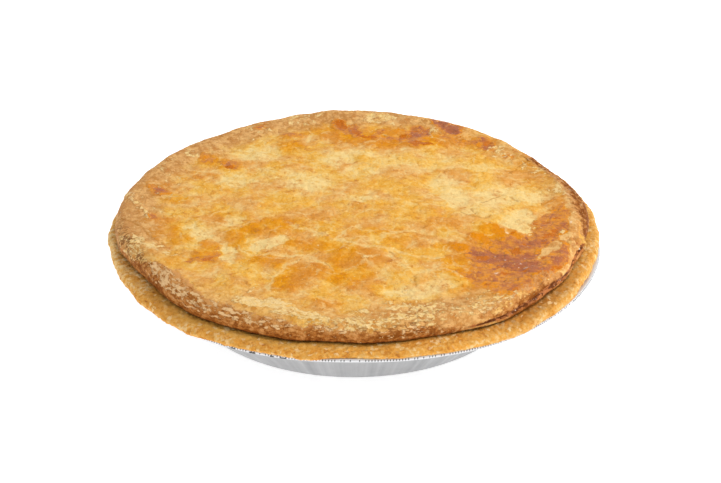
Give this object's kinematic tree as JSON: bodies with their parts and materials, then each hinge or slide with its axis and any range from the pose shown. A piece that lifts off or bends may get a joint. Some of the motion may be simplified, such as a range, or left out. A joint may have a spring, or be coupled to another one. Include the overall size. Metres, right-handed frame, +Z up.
{
  "type": "chicken pot pie",
  "caption": "Round double-crust savoury pie with a browned, flaky top crust, baked and standing in a pleated foil pan.",
  "frame": {"origin": "middle of the pan's foot, on the table", "axes": "+Z up out of the pie, +X to the pie's right and +Y to its back as the picture shows it"},
  "size_m": [0.231, 0.2287, 0.0464],
  "materials": {
    "pan_foil": "soft pressed aluminium foil, satin, with pleats and a knurled rolled rim",
    "bottom_pastry": "baked shortcrust pastry, dry, grainy and golden brown",
    "top_pastry": "baked, washed shortcrust pastry, flaky, blotched from pale gold to dark brown, slightly glossy where it is brown"
  },
  "bodies": {
    "root": {"foil_pan": "pan_foil", "bottom_crust": "bottom_pastry", "top_crust": "top_pastry"}
  },
  "joints": []
}
